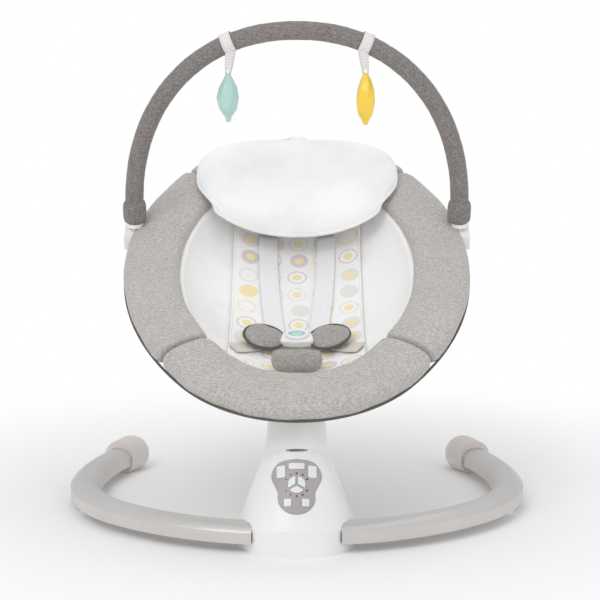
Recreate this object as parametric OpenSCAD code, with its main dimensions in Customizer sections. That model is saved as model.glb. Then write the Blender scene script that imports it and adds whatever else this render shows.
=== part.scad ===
// Electric baby swing: a leaning front housing on a C-shaped floor tube carries a neck that
// turns about a leaning axis, and the neck carries an oval padded seat with a toy bar.
// Front is -Y, up is +Z, the floor is z = 0.

/* [Base loop] */
// Half width of the floor tube, to its middle line
loop_half_w = 274; // [240:1:310]
// Distance from the front of the loop to its widest line
loop_front = 225; // [200:1:260]
// Corner radius between the front and the sides of the loop
loop_corner_r = 190; // [150:1:198]
// Radius of the sides behind the widest line
loop_rear_r = 330; // [300:1:420]
// Length of the loop behind its widest line
loop_rear = 150; // [110:1:190]
// Width of the floor tube
tube_w = 38; // [30:1:44]
// Height of the floor tube
tube_h = 22; // [18:1:26]
// Height of the floor tube's middle above the floor
tube_z = 23; // [18:1:30]
// Wall of the floor tube
tube_wall = 2; // [1.5:0.1:3]

/* [Housing] */
// Radius of the housing's skirt
skirt_r = 72; // [66:1:84]
// Radius of the housing at its top seam
top_r = 38; // [34:1:44]
// Distance along the leaning axis from the floor to the seam
seam_s = 108; // [100:1:125]
// Lean of the turning axis from vertical, in degrees
lean = 14; // [10:1:18]
// Wall of the moulded covers
cover_wall = 2.5; // [2:0.1:3.5]
// Gap between the housing and the neck
seam_gap = 3; // [2:0.5:5]
// Length of the neck cover
neck_len = 50; // [44:1:54]

/* [Controls] */
// Width of the control panel
panel_w = 59; // [54:1:64]
// Length of the control panel
panel_l = 68; // [64:1:74]
// Travel of a button
button_travel = 1; // [0.5:0.1:1.5]

/* [Seat] */
// Half width of the seat rim, outside
rim_half_w = 223; // [200:1:245]
// Half length of the seat rim, outside
rim_half_l = 298; // [270:1:330]
// Radius of the rim at its foot and head ends
rim_end_r = 180; // [160:1:195]
// Width of the padded rim
rim_band = 72; // [60:1:80]
// Thickness of the padded rim
rim_t = 34; // [30:1:42]
// Tilt of the seat, in degrees
seat_tilt = 28; // [22:1:32]
// Deepest point of the seat below its rim
seat_depth = 68; // [60:1:72]
// Diameter of the seat's frame tubes
frame_d = 16; // [14:1:20]

/* [Toy bar] */
// Half width of the toy bar
bar_half_w = 214; // [190:1:236]
// Height of the toy bar above its sockets
bar_h = 273; // [230:1:300]
// Diameter of the padded toy bar
bar_d = 24; // [20:1:30]

/* [Harness] */
// Width of the webbing
web_w = 25; // [20:1:30]
// Thickness of the webbing
web_t = 1.6; // [1.2:0.1:2.4]

/* [Hidden] */
$fn = 64;
eps = 0.01;
gap = 0.3;             // clearance between fitted pieces
run = 0.05;            // radial clearance of a turning shaft
rest_gap = 0.5;        // clearance under soft pieces
far = 400;             // reach of the cutting blocks

// Places
loop_y = -19;                              // widest line of the loop
axis_y = -209;                             // where the leaning axis meets the floor
skirt_y = axis_y + 4;                      // centre of the skirt
cone_k = 0.39;                             // how fast the cone narrows
cone_r0 = top_r + cone_k * seam_s;         // cone radius at the floor
cone_a = atan(cone_k);
face_len = 44;                             // seam to panel centre, down the slope
face_s = seam_s - face_len * cos(cone_a);
face_r = cone_r0 - cone_k * face_s;
seat_y = 10;
seat_z = 303.5;
tube_top = tube_z + tube_h / 2;
shaft_r = 8;
axle_y = -103;
axle_z = 158;
arm_half_w = 19;
ear_t = 6;

// Outline helpers
function arc(r, a0, a1, n, c = [0, 0]) =
    [for (i = [0:n]) let (a = a0 + (a1 - a0) * i / n) c + r * [cos(a), sin(a)]];
function side_r(a, b, r) = ((a - r) * (a - r) + b * b - r * r) / (2 * (b - r));
// Points of an oval of half length a and half width b, anticlockwise from angle f0 to f1 in
// turns, where 0 is +X, 0.25 the head, 0.5 -X and 0.75 the foot
function oval_point(a, b, r, f) =
    let (t = 360 * f, q = side_r(a, b, r), k = atan2(a - r, q - b),
         sx = cos(t) >= 0 ? 1 : -1, sy = sin(t) >= 0 ? 1 : -1, u = acos(abs(cos(t))))
    u <= k ? [sx * (b - q + q * cos(u)), sy * q * sin(u)]
           : [sx * r * cos(u), sy * (a - r + r * sin(u))];
function oval_path(a, b, r, f0, f1, n) = [for (i = [0:n]) oval_point(a, b, r, f0 + (f1 - f0) * i / n)];
function unit(v) = v / norm(v);
function tangent(p, i) =
    let (m = len(p) - 1) unit(i == 0 ? p[1] - p[0] : i == m ? p[m] - p[m - 1] : p[i + 1] - p[i - 1]);

// A profile of [outward, up] points carried along a flat path, closed at both ends
module sweep(path, profile) {
    m = len(path);
    k = len(profile);
    points = [for (i = [0:m - 1]) let (t = tangent(path, i), n = [t[1], -t[0]])
        each [for (q = profile) [path[i][0] + q[0] * n[0], path[i][1] + q[0] * n[1], q[1]]]];
    sides = [for (i = [0:m - 2], j = [0:k - 1])
        let (a = i * k + j, b = i * k + (j + 1) % k) each [[a, a + k, b + k], [a, b + k, b]]];
    first = [for (j = [0:k - 1]) j];
    last = [for (j = [0:k - 1]) m * k - 1 - j];
    polyhedron(points, concat(sides, [first, last]), convexity = 6);
}
function ring(r, n) = [for (i = [0:n - 1]) let (a = 360 * i / n) r * [cos(a), sin(a)]];
// A round outline of half sizes u and v, with fuller corners than an ellipse
function pill(u, v, n, p = 2.6) = [for (i = [0:n - 1]) let (a = 360 * i / n, c = cos(a), s = sin(a))
    [u * sign(c) * pow(abs(c), 2 / p), v * sign(s) * pow(abs(s), 2 / p)]];
// A padded profile with a round tunnel that opens through a slit at angle a0
function tunnel(u, v, r, slit, a0, n, m) =
    let (h = asin(slit / 2 / r))
    concat([for (i = [0:n]) let (a = a0 + 2 + (356) * i / n, c = cos(a), s = sin(a))
               [u * sign(c) * pow(abs(c), 0.8), v * sign(s) * pow(abs(s), 0.8)]],
           [for (i = [0:m]) let (a = a0 - h - (360 - 2 * h) * i / m) r * [cos(a), sin(a)]]);
// A closed solid between two sheets of points on one grid of rows
module slab(low, high) {
    m = len(low);
    k = len(low[0]);
    points = concat([for (r = low) each r], [for (r = high) each r]);
    o = m * k;
    faces = concat(
        [for (i = [0:m - 2], j = [0:k - 2]) let (a = i * k + j)
            each [[a, a + k, a + k + 1], [a, a + k + 1, a + 1],
                  [o + a, o + a + k + 1, o + a + k], [o + a, o + a + 1, o + a + k + 1]]],
        [for (i = [0:m - 2]) let (a = i * k, b = a + k - 1)
            each [[a, o + a, o + a + k], [a, o + a + k, a + k],
                  [b, b + k, o + b + k], [b, o + b + k, o + b]]],
        [for (j = [0:k - 2]) let (a = j, b = (m - 1) * k + j)
            each [[a, a + 1, o + a + 1], [a, o + a + 1, o + a],
                  [b, o + b, o + b + 1], [b, o + b + 1, b + 1]]]);
    polyhedron(points, faces, convexity = 6);
}

// Local frames
module on_axis() translate([0, axis_y, 0]) rotate([-lean, 0, 0]) children();
module on_face() on_axis() translate([0, -face_r, face_s]) rotate([90 - cone_a, 0, 0]) children();
module in_seat() translate([0, seat_y, seat_z]) rotate([seat_tilt, 0, 0]) children();
module both() { children(); mirror([1, 0, 0]) children(); }
module above(z) translate([-far, -far, z]) cube([2 * far, 2 * far, far]);
module cylinder_x(r, l) rotate([0, 90, 0]) cylinder(r = r, h = l, center = true);

// ---------- Base loop ----------
loop_front_r = side_r(loop_half_w, loop_front, loop_corner_r);
loop_corner = [loop_half_w - loop_corner_r, loop_y];
loop_front_c = [0, loop_y - loop_front + loop_front_r];
corner_a = atan2(loop_front_c[1] - loop_corner[1], loop_corner[0]);
tube_in = 50;                              // how far from the middle the tube ends stop
front_a0 = -90 + asin(tube_in / loop_front_r);
rear_a = asin(loop_rear / loop_rear_r);
rear_c = [loop_half_w - loop_rear_r, loop_y];
rear_end = rear_c + loop_rear_r * [cos(rear_a), sin(rear_a)];

module tube_profile(grow = 0) intersection() {
    translate([0, -tube_h / 2 - 1]) circle(r = tube_h + 2 + grow);
    square([tube_w + 2 * grow, tube_h + 2 * grow], center = true);
}
module tube_run(grow = 0) {
    translate([loop_front_c[0], loop_front_c[1], tube_z])
        rotate_extrude(angle = -corner_a - front_a0, start = front_a0)
            translate([loop_front_r, 0]) tube_profile(grow);
    translate([loop_corner[0], loop_corner[1], tube_z])
        rotate_extrude(angle = corner_a, start = -corner_a)
            translate([loop_corner_r, 0]) tube_profile(grow);
    translate([rear_c[0], rear_c[1], tube_z])
        rotate_extrude(angle = rear_a, start = 0) translate([loop_rear_r, 0]) tube_profile(grow);
}
module floor_tube() color("silver") difference() {
    tube_run(0);
    tube_run(-tube_wall);
}
module right_tube() floor_tube();
module left_tube() mirror([1, 0, 0]) floor_tube();

cap_r = 25;
module rear_cap() color("whitesmoke") difference() {
    translate([rear_end[0], rear_end[1], 0]) rotate([0, 0, rear_a]) intersection() {
        union() {
            translate([0, 14, 21]) sphere(r = cap_r);
            translate([0, -16, 21]) rotate([-90, 0, 0]) cylinder(r1 = 23.5, r2 = cap_r, h = 28);
        }
        above(0);
    }
    tube_run(gap);
}
module right_rear_cap() rear_cap();
module left_rear_cap() mirror([1, 0, 0]) rear_cap();

foot_a = -corner_a - 4;                    // angle of a front foot on the corner arc
module front_feet() color("whitesmoke") both()
    translate([loop_corner[0], loop_corner[1], 0]) rotate([0, 0, foot_a + 30])
        translate([loop_corner_r, 0, 0]) {
            cylinder(r1 = 10, r2 = 13, h = tube_z - tube_h / 2);
        }

// ---------- Housing ----------
module housing_outside(inset = 0) intersection() {
    translate([0, skirt_y, -eps * (inset > 0 ? 1 : 0)]) cylinder(r = skirt_r - inset, h = 2 * seam_s);
    on_axis() translate([0, 0, -30])
        cylinder(r1 = cone_r0 + 30 * cone_k - inset, r2 = top_r - inset + cone_k * inset,
                 h = seam_s + 30 - inset);
    above(inset > 0 ? -eps : 0);
}
// The outline of the panel, wide at the top, with a round lower lobe
lobe_r = panel_w * 0.37;
module panel_outline(grow = 0) offset(r = grow, $fn = 24) offset(r = -7) offset(r = 14) offset(r = -7) union() {
    hull() {
        for (s = [-1, 1]) translate([s * (panel_w / 2 - 17), panel_l / 2 - 18]) circle(r = 17);
        translate([0, panel_l / 2 - 14]) circle(r = 14);
        translate([0, 0]) circle(r = lobe_r);
    }
    translate([0, -panel_l / 2 + lobe_r]) circle(r = lobe_r);
}
// The layer of the cone from depth a inside to height b outside its surface
module face_layer(a, b) difference() {
    on_axis() cylinder(r1 = cone_r0 + b, r2 = top_r + b, h = seam_s);
    on_axis() translate([0, 0, -eps]) cylinder(r1 = cone_r0 - a, r2 = top_r - a, h = seam_s + 2 * eps);
}
module face_prism(deep, high) on_face() translate([0, 0, -deep]) linear_extrude(deep + high) children();

plate_t = 3;
base_hole_r = 1.75;
base_hole_at = 50;                         // from the skirt's centre to a base screw
boss_h = 8;
// Bosses for the base screws, each with a rib to the wall
module screw_bosses() difference() {
    intersection() {
        for (a = [45:90:315]) translate([0, skirt_y, plate_t + gap]) rotate([0, 0, a])
            translate([base_hole_at, 0, 0]) {
                cylinder(r = 5, h = boss_h);
                translate([0, -2, 0]) cube([30, 4, boss_h]);
            }
        housing_outside(cover_wall - 0.5);
    }
    screw_places() cylinder(r = base_hole_r - 0.1, h = 20);
}
panel_sink = 1.2;
panel_rise = 1.6;
module housing_shell() difference() {
    union() {
        difference() {
            housing_outside(0);
            housing_outside(cover_wall);
        }
        screw_bosses();
    }
    on_axis() translate([0, 0, seam_s - 10]) cylinder(r = shaft_r + 2, h = 20);
    both() tube_run(gap);
    intersection() {
        face_layer(panel_sink + gap, 5);
        face_prism(20, 14) panel_outline(gap);
    }
    face_prism(20, 14) panel_outline(-1.6);
}
module split_front() on_axis() translate([-far, -2 * far, -far]) cube(2 * far);
module housing_front() color("white") intersection() {
    housing_shell();
    split_front();
}
inlet_x = -34;
inlet_z = 12;
inlet_r = 3;                               // for a 5.5 mm plug
inlet_body_r = 6;
inlet_y = skirt_y + 59.5;                  // its mouth
inlet_deep = 10;
door_w = 56;
door_z0 = 19;
door_z1 = 77;
module door_block(grow = 0)
    translate([-door_w / 2 - grow, skirt_y + 20, door_z0 - grow])
        cube([door_w + 2 * grow, 90, door_z1 - door_z0 + 2 * grow]);
module housing_rear() color("white") difference() {
    housing_shell();
    split_front();
    door_block(gap);
    translate([inlet_x, skirt_y, inlet_z]) rotate([-90, 0, 0]) cylinder(r = inlet_body_r + gap, h = 100);
    for (i = [-2:2]) translate([36 + i * 1.5, skirt_y + 30, 34 + i * 5 + 10]) cube([14, 60, 2], center = true);
}
module battery_door() color("white") {
    intersection() {
        difference() { housing_outside(0); housing_outside(cover_wall); }
        difference() { door_block(0); split_front(); }
    }
}
module screw_places() for (a = [45:90:315])
    translate([base_hole_at * cos(a), skirt_y + base_hole_at * sin(a), 0]) children();
module base_plate() color("gainsboro") difference() {
    intersection() {
        translate([0, skirt_y, 0]) cylinder(r = skirt_r, h = plate_t);
        housing_outside(cover_wall + gap);
    }
    screw_places() translate([0, 0, -eps]) cylinder(r = base_hole_r, h = plate_t + 1);
    screw_places() translate([0, 0, -eps]) cylinder(r = 3.6, h = 1.6);
}
module base_screws() color("silver") screw_places() {
    translate([0, 0, 0.1]) cylinder(r = 3.3, h = 1.3);
    translate([0, 0, 0.8]) cylinder(r = base_hole_r - 0.15, h = boss_h + plate_t - 1);
}

// ---------- Inside the housing ----------
bear_r = 14;
bear_h = 9;
low_s = 50;
high_s = seam_s - cover_wall - bear_h - 2;
module bearing(s) on_axis() translate([0, 0, s]) difference() {
    cylinder(r = bear_r, h = bear_h);
    translate([0, 0, -eps]) cylinder(r = shaft_r + run, h = bear_h + 1);
}
module lower_bearing() color("lightsteelblue") bearing(low_s);
module upper_bearing() color("lightsteelblue") bearing(high_s);
frame_wall = 3;
module bearing_frame() color("dimgray") difference() {
    union() {
        on_axis() translate([0, 0, low_s - 3]) cylinder(r = bear_r + run + frame_wall, h = high_s + bear_h - low_s + 3);
        on_axis() translate([0, 0, low_s - 3]) for (s = [-1, 1])
            translate([s * 24 - 8, -8, 0]) cube([16, 16, 8]);
        for (s = [-1, 1]) translate([s * 28, axis_y + 12, plate_t]) cylinder(r = 6, h = low_s + 6);
    }
    on_axis() translate([0, 0, low_s]) cylinder(r = bear_r, h = bear_h);
    on_axis() translate([0, 0, high_s]) cylinder(r = bear_r, h = far);
    on_axis() cylinder(r = shaft_r + 3, h = far);
    screw_places() translate([0, 0, 0]) cylinder(r = base_hole_r, h = 12);
}
coil_y = -10;
module drive_coil() color("peru") translate([0, axis_y + coil_y, plate_t]) difference() {
    cylinder(r = 17, h = 16);
    translate([0, 0, 3]) cylinder(r = 5, h = 20);
}
module drive_magnet() color("dimgray") on_axis() translate([0, coil_y, low_s - 22])
    difference() {
        translate([-15, -8, 0]) cube([30, 26, 8]);
        translate([0, -coil_y, -1]) cylinder(r = shaft_r + 0.02, h = 12);
    }
module control_board() color("darkgreen") on_face() translate([0, -2, -13]) cube([44, 52, 1.6], center = true);
box_w = 50;
box_deep = 17.4;
box_high = door_z1 - door_z0 - 2;
box_wall = 2;
box_y0 = axis_y + 38;
module battery_box() color("gray") difference() {
    translate([-box_w / 2, box_y0, door_z0 + 1]) cube([box_w, box_deep, box_high]);
    translate([-box_w / 2 + box_wall, box_y0 + box_wall, door_z0 + 1 + box_wall])
        cube([box_w - 2 * box_wall, box_deep, box_high - 2 * box_wall]);
}
cell_r = 7.2;                              // size AA
cell_l = 50.5;
module battery_cells() color("goldenrod") for (i = [-1:1])
    translate([i * (2 * cell_r + gap), box_y0 + box_wall + cell_r + gap, door_z0 + 1 + box_wall + gap])
        cylinder(r = cell_r, h = cell_l);
module speaker() color("black") translate([36.6, skirt_y + 27.1, 52]) rotate([-90, 0, -40])
    cylinder(r1 = 8, r2 = 12, h = 8);
module power_inlet() color("black") difference() {
    translate([inlet_x, inlet_y - 15, inlet_z]) rotate([-90, 0, 0]) cylinder(r = inlet_body_r, h = 15);
    translate([inlet_x, inlet_y - inlet_deep, inlet_z]) rotate([-90, 0, 0]) cylinder(r = inlet_r, h = 20);
}

// ---------- Controls ----------
hub_c = [0, 2.1];
hub_r = 10.4;
led_ring = 14.2;
led_angles = [90, 60, 120, 30, 150, 210, 330, 240, 300, 270];
module shape_power() translate([-18.5, 19]) offset(r = 2) square([6.5, 11], center = true);
module shape_timer() translate([18.5, 19]) offset(r = 2) square([6.5, 11], center = true);
module shape_music() translate([0, 25.2]) offset(r = 2) square([15, 3.6], center = true);
module shape_sector(a) translate(hub_c) offset(r = 0.8) offset(r = -0.8) intersection() {
    circle(r = hub_r);
    translate([1.6 * cos(a), 1.6 * sin(a)])
        polygon([[0, 0], 30 * [cos(a - 60), sin(a - 60)], 45 * [cos(a), sin(a)], 30 * [cos(a + 60), sin(a + 60)]]);
}
module shape_minus() translate([-10.6, -20]) offset(r = 2) square([5, 5.5], center = true);
module shape_plus() translate([10.6, -20]) offset(r = 2) square([5, 5.5], center = true);
module all_shapes() {
    shape_power(); shape_timer(); shape_music(); shape_minus(); shape_plus();
    for (a = [30, 150, 270]) shape_sector(a);
}
module led_places() for (a = led_angles) translate(hub_c + led_ring * [cos(a), sin(a)]) children();
module control_panel() color("darkgray") difference() {
    intersection() {
        face_layer(panel_sink, panel_rise);
        face_prism(20, 14) panel_outline(0);
    }
    face_prism(20, 14) offset(delta = gap) all_shapes();
    face_prism(20, 14) led_places() circle(r = 1.2);
}
module led_lenses() color("darkred") intersection() {
    face_layer(3, panel_rise + 0.3);
    face_prism(20, 14) led_places() circle(r = 1.2 - 0.05);
}
button_sink = 3;
button_rise = panel_rise + 0.9;
module button() color("white") intersection() {
    face_layer(button_sink, button_rise);
    face_prism(20, 14) children();
}
module button_power() button() shape_power();
module button_music() button() shape_music();
module button_timer() button() shape_timer();
module button_left() button() shape_sector(150);
module button_right() button() shape_sector(30);
module button_down() button() shape_sector(270);
module button_minus() button() shape_minus();
module button_plus() button() shape_plus();

// ---------- Neck and arm ----------
neck_s0 = seam_s + seam_gap;
neck_s1 = neck_s0 + neck_len;
neck_top_r = top_r - 5;
head_s = neck_s0 + cover_wall + gap;
module neck_shell() difference() {
    on_axis() translate([0, 0, neck_s0]) cylinder(r1 = top_r, r2 = neck_top_r, h = neck_len);
    on_axis() translate([0, 0, neck_s0 + cover_wall])
        cylinder(r1 = top_r - cover_wall, r2 = neck_top_r - cover_wall, h = neck_len - 2 * cover_wall);
    on_axis() translate([0, 0, neck_s0 - 1]) cylinder(r = shaft_r + gap, h = 10);
    translate([-arm_half_w - gap, axis_y + 30, head_s - 3]) cube([2 * (arm_half_w + gap), 60, 80]);
}
module neck_front() color("white") intersection() { neck_shell(); split_front(); }
module neck_rear() color("white") difference() { neck_shell(); split_front(); }
module pivot_shaft() color("silver") on_axis() {
    translate([0, 0, low_s - 24]) cylinder(r = shaft_r, h = head_s - low_s + 24);
    translate([0, 0, neck_s0 - seam_gap + 0.4]) cylinder(r = 13, h = seam_gap - 0.8);
}
module swing_arm() color("gray") difference() {
    union() {
        on_axis() translate([0, 0, head_s]) cylinder(r = 26, h = 14);
        hull() {
            on_axis() translate([0, 6, head_s]) translate([-arm_half_w, 0, 0]) cube([2 * arm_half_w, 14, 26]);
            translate([0, axle_y, axle_z]) cylinder_x(11, 2 * arm_half_w);
        }
    }
    translate([0, axle_y, axle_z]) cylinder_x(5 + run, 3 * arm_half_w);
}
module recline_axle() color("silver") translate([0, axle_y, axle_z]) {
    cylinder_x(5, 2 * (arm_half_w + 0.5 + ear_t) + 2);
    both() translate([arm_half_w + 0.5 + ear_t + 1 + 2, 0, 0]) cylinder_x(9, 4);
}

// ---------- Seat frame ----------
hub_f = 0.035;                             // hub's place round the oval, in turns from +X
mid_a = rim_half_l - rim_band / 2;
mid_b = rim_half_w - rim_band / 2;
mid_r = rim_end_r - rim_band / 2;
hub_p = oval_point(mid_a, mid_b, mid_r, hub_f);
hub_l = 34;
mid_q = side_r(mid_a, mid_b, mid_r);       // radius of the oval's sides
hub_rest = hub_l / 2 / (2 * PI * mid_q);   // turns covered by half a hub
module hoop(f0, f1, n) in_seat() sweep(oval_path(mid_a, mid_b, mid_r, f0, f1, n), ring(frame_d / 2, 16));
module rear_hoop() color("silver") hoop(hub_f + hub_rest / 3, 0.5 - hub_f - hub_rest / 3, 40);
module front_hoop() color("silver") hoop(0.5 - hub_f + hub_rest / 3, 1 + hub_f - hub_rest / 3, 40);
hub_block = [56, hub_l, 20];               // across, along and through the rim
hub_x = 200;
hub_top = 7;                               // top of the hub above the rim's plane
hub_sink = 6;                              // how far the bar's foot goes below the hub's middle
module at_hub() translate(hub_world) children();
module hub() color("white") difference() {
    union() {
        at_hub() rotate([seat_tilt, 0, 0]) translate([hub_x - hub_p[0], 0, hub_top - hub_block[2] / 2])
            cube(hub_block, center = true);
        at_hub() rotate([cradle_a - 90, 0, 0]) translate([0, 0, -cradle_short - 14])
            cylinder(r = frame_d / 2 + 4, h = cradle_short + 12);
    }
    at_hub() rotate([seat_tilt, 0, 0]) rotate([90, 0, 360 * hub_f])
        cylinder(r = frame_d / 2 + 0.8, h = far, center = true);
    at_hub() rotate([cradle_a - 90, 0, 0]) translate([0, 0, -cradle_short - 20])
        cylinder(r = frame_d / 2 + 0.1, h = 20 + gap);
    at_hub() rotate([bar_lean, 0, 0]) translate([bar_half_w - hub_p[0], 0, -hub_sink - gap])
        cylinder(r = bar_tube_r + 0.1, h = 60);
}
module right_hub() hub();
module left_hub() mirror([1, 0, 0]) hub();

// The cradle runs from hub to hub below the seat
cradle_y = 35;
cradle_z = 206;
cradle_short = 26;                         // from the hub's middle to the end of the cradle
hub_world = [hub_p[0], seat_y + hub_p[1] * cos(seat_tilt), seat_z + hub_p[1] * sin(seat_tilt)];
cradle_rise = norm([hub_world[1] - cradle_y, hub_world[2] - cradle_z]);
cradle_a = atan2(hub_world[2] - cradle_z, hub_world[1] - cradle_y);
cradle_bend = 96;
cradle_half = hub_p[0];
cradle_path = concat([[-cradle_half, cradle_rise - cradle_short]],
    arc(cradle_bend, 180, 270, 12, [-cradle_half + cradle_bend, cradle_bend]),
    arc(cradle_bend, 270, 360, 12, [cradle_half - cradle_bend, cradle_bend]),
    [[cradle_half, cradle_rise - cradle_short]]);
module cradle_shape(r) translate([0, cradle_y, cradle_z]) rotate([cradle_a, 0, 0])
    sweep(cradle_path, ring(r, 16));
module cradle_tube() color("silver") cradle_shape(frame_d / 2);
ear_x = arm_half_w + 0.5;
module seat_bracket() color("gray") difference() {
    union() {
        both() translate([ear_x, 0, 0]) hull() {
            translate([ear_t / 2, axle_y, axle_z]) cylinder_x(11, ear_t);
            translate([ear_t / 2, cradle_y, cradle_z]) cylinder_x(13, ear_t);
        }
        translate([0, cradle_y, cradle_z]) cylinder_x(13, 2 * (ear_x + ear_t) + 20);
    }
    translate([0, cradle_y, cradle_z]) cylinder_x(frame_d / 2 + 0.1, far);
    translate([0, axle_y, axle_z]) cylinder_x(5 + run, far);
    difference() {
        translate([0, axle_y, axle_z]) cylinder_x(11 + 3, 2 * ear_x);
        translate([0, cradle_y, cradle_z]) cylinder_x(12.5, far);
    }
}

// ---------- Rim and seat ----------
rim_rings = 26;
module rim(f0, f1, n) in_seat() sweep(oval_path(mid_a, mid_b, mid_r, f0, f1, n),
    tunnel(rim_band / 2, rim_t / 2, frame_d / 2 + 0.6, 2, 180, 24, 12));
seam_f = 0.1;                              // seams beside the head piece, in turns
foot_f = 0.09;                             // seams beside the foot piece
gap_f = 0.0012;
hub_clear = 27 / (2 * PI * mid_q);         // from the hub's middle to the padding
boss_clear = 38 / (2 * PI * mid_q);        // the same in front, past the cradle's boss
module rim_head() color("gray") rim(seam_f + gap_f, 0.5 - seam_f - gap_f, 24);
module rim_foot() color("gray") rim(0.5 + foot_f + gap_f, 1 - foot_f - gap_f, rim_rings);
module rim_side() {
    rim(hub_f + hub_clear, seam_f - gap_f, 6);
    rim(1 - foot_f + gap_f, 1 + hub_f - boss_clear, 11);
}
module rim_right() color("gray") rim_side();
module rim_left() color("gray") mirror([1, 0, 0]) rim_side();

bowl_gap = 2.4;
bowl_a = rim_half_w - rim_band - bowl_gap;
bowl_b = rim_half_l - rim_band - bowl_gap;
bowl_t = 3;
bowl_n = 2.6;
bowl_m = 0.6;
bowl_lip = -4;
function bowl_depth(w) = seat_depth * (1 - 0.08 * w / bowl_b);
// Height of the bowl's surface, moved inwards by t, at a place in the seat's plane
function bowl_z(x, w, t) =
    let (q = min(1, norm([x / (bowl_a - t), w / (bowl_b - t)])))
    bowl_lip - (bowl_depth(w) - t) * pow(1 - pow(q, bowl_n), bowl_m);
function bowl_ring(q, t, n) = [for (i = [0:n - 1]) let (a = 360 * i / n,
    x = (bowl_a - t) * q * cos(a), w = (bowl_b - t) * q * sin(a))
    [x, w, bowl_lip - (bowl_depth(w) - t) * pow(1 - pow(q, bowl_n), bowl_m)]];
bowl_steps = [0.12, 0.3, 0.48, 0.64, 0.77, 0.87, 0.94, 0.98, 1];
bowl_sides = 44;
module seat_bucket() color("white") in_seat() {
    n = bowl_sides;
    m = len(bowl_steps);
    outside = [for (q = bowl_steps) each bowl_ring(q, 0, n)];
    inside = [for (q = bowl_steps) each bowl_ring(q, bowl_t, n)];
    o = m * n;
    points = concat(outside, inside);
    faces = concat(
        [[for (i = [0:n - 1]) i]],
        [[for (i = [0:n - 1]) o + n - 1 - i]],
        [for (r = [0:m - 2], i = [0:n - 1]) let (a = r * n + i, b = r * n + (i + 1) % n)
            each [[a, a + n, b + n], [a, b + n, b], [o + a, o + b + n, o + a + n], [o + a, o + b, o + b + n]]],
        [for (i = [0:n - 1]) let (a = (m - 1) * n + i, b = (m - 1) * n + (i + 1) % n)
            each [[a, o + a, o + b], [a, o + b, b]]]);
    polyhedron(points, faces, convexity = 6);
}

liner_half = 84;
liner_t = 6;
liner_low = bowl_t + 1.8;
function liner_w(w) = min(liner_half, 0.86 * bowl_a * sqrt(max(0.01, 1 - pow(w / bowl_b, 2))));
function liner_sheet(t) = [for (i = [0:22]) let (w = -200 + 400 * i / 22, h = liner_w(w))
    [for (j = [0:10]) let (x = h * (j / 5 - 1)) [x, w, bowl_z(x, w, t)]]];
module seat_liner() color("ivory") in_seat() slab(liner_sheet(liner_low), liner_sheet(liner_low + liner_t));

// Height of the liner's top at a place in the seat's plane
function top_z(x, w) = bowl_z(x, w, liner_low + liner_t);
function strap_rows(route, width, lift) = [for (i = [0:len(route) - 1])
    let (c = route[i], t = tangent(route, i), n = [t[1], -t[0]])
    [for (j = [-1:1]) let (p = c + n * width / 2 * j) [p[0], p[1], top_z(p[0], p[1]) + lift]]];
module strap(route, width, lift, thick) in_seat()
    slab(strap_rows(route, width, lift), strap_rows(route, width, lift + thick));
strap_lift = 1.2;
shoulder_route = [for (i = [0:10]) [39 - 12 * pow(i / 10, 2), 128 - 198 * i / 10]];
module shoulder_straps() color("white") both() strap(shoulder_route, web_w, strap_lift, web_t);
waist_route = [for (i = [0:6]) [81 - 46 * i / 6, -124 + 34 * i / 6]];
module waist_straps() color("white") both() strap(waist_route, web_w, strap_lift, web_t);

buckle_w = -94;
buckle_z = top_z(0, buckle_w) + 11;
module buckle_place() in_seat() translate([0, buckle_w, buckle_z]) rotate([-12, 0, 0]) children();
module buckle() color("white") buckle_place() difference() {
    intersection() {
        cube([64, 40, 12], center = true);
        translate([0, 0, -60]) cylinder(r = 32, h = 120);
    }
    translate([0, 0, 1]) cylinder(r = 9 + gap, h = 20);
}
module buckle_button() color("mediumaquamarine") buckle_place() translate([0, 0, 3]) cylinder(r = 9, h = 4.5);

// The crotch pad: two lobes beside the buckle and a roll in front of it
module crotch_pad() color("gray") in_seat() {
    translate([0, -158, top_z(0, -158) + 17.5]) cylinder_x(13, 60);
    both() translate([49, -98, top_z(49, -98) + 11]) rotate([-12, -14, 0]) {
        cylinder(r = 15, h = 9, center = true);
    }
}

// ---------- Pillow ----------
pillow_w0 = 92;
pillow_w1 = 262;
pillow_half = 134;
function pillow_x(v) = pillow_half * pow(1 - pow(abs(2 * v - 1), 3.2), 0.36) + 2;
// Height of the padded rim's top, 0 inside its inner edge
function rim_q(x, w) = norm([x / (bowl_a - 14), w / (bowl_b - 14)]);
function rim_top(x, w) = let (k = min(1, max(0, 1 - (rim_q(x, w) - 1) * bowl_a / (rim_band / 2))))
    rim_t / 2 * pow(1 - pow(k, 2.5), 0.4);
function pillow_low(x, w) = max(-20 + 40 * (w - pillow_w0) / (pillow_w1 - pillow_w0) + 0.0011 * x * x,
    rim_q(x, w) > 1 ? rim_top(x, w) + 0.9 : -far);
function pillow_sheet(side) = [for (i = [0:18]) let (v = 0.5 - 0.5 * cos(180 * i / 18), w = pillow_w0 + (pillow_w1 - pillow_w0) * v, h = pillow_x(v))
    [for (j = [0:14]) let (u = j / 7 - 1, x = h * u, c = (1 - pow(abs(u), 4)) * (1 - pow(abs(2 * v - 1), 4)))
        [x, w, pillow_low(x, w) + (side > 0 ? 6 + 20 * c : 0)]]];
module head_pillow() color("white") in_seat() slab(pillow_sheet(0), pillow_sheet(1));
module pillow_strap() color("white") in_seat() rotate([90, 0, 90]) linear_extrude(22, center = true)
    intersection() {
        translate([mid_a, 0]) difference() {
            polygon(pill(rim_band / 2 + 2.2, rim_t / 2 + 2.2, 48, 2.5));
            polygon(pill(rim_band / 2 + rest_gap, rim_t / 2 + rest_gap, 48, 2.5));
        }
        translate([pillow_w1 + 6, -12]) square([80, 60]);
    }

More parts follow.
